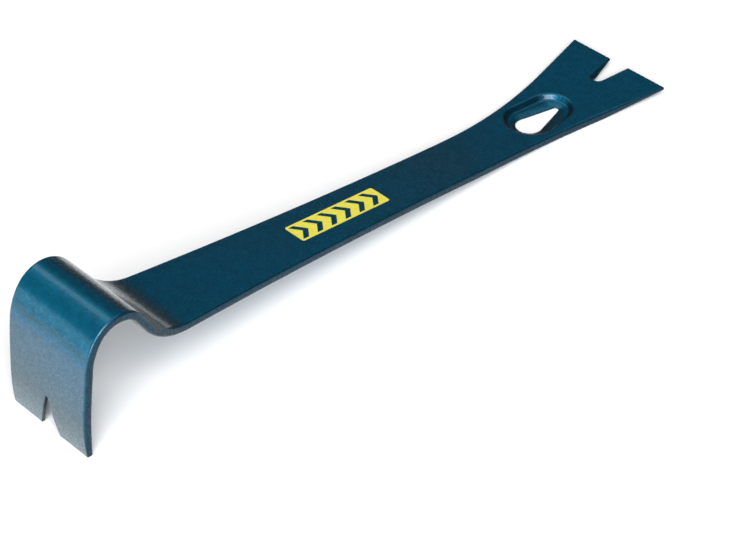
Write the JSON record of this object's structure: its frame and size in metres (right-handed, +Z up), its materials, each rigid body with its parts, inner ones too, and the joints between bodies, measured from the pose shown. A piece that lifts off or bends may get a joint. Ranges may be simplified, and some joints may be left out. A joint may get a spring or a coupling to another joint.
{
  "type": "pry bar",
  "caption": "Flat pry bar: gooseneck claw at one end, flared thin blade at the other, V nail notches in both ends and a dished teardrop nail slot.",
  "frame": {"origin": "on the floor, at the middle of the claw's lower edge, where the mouth of the claw notch opens", "axes": "+X along the bar from claw to blade, +Z up with the bar resting on its claw edge and the blade's belly, +Y across the bar, which is symmetric about the XZ plane"},
  "size_m": [0.3826, 0.063, 0.0687],
  "materials": {
    "painted_steel": "metallic translucent blue over blasted steel, satin",
    "yellow_print": "satin pad-printed ink"
  },
  "bodies": {
    "root": {"forged_bar": "painted_steel", "printed_badge": "yellow_print"}
  },
  "joints": []
}
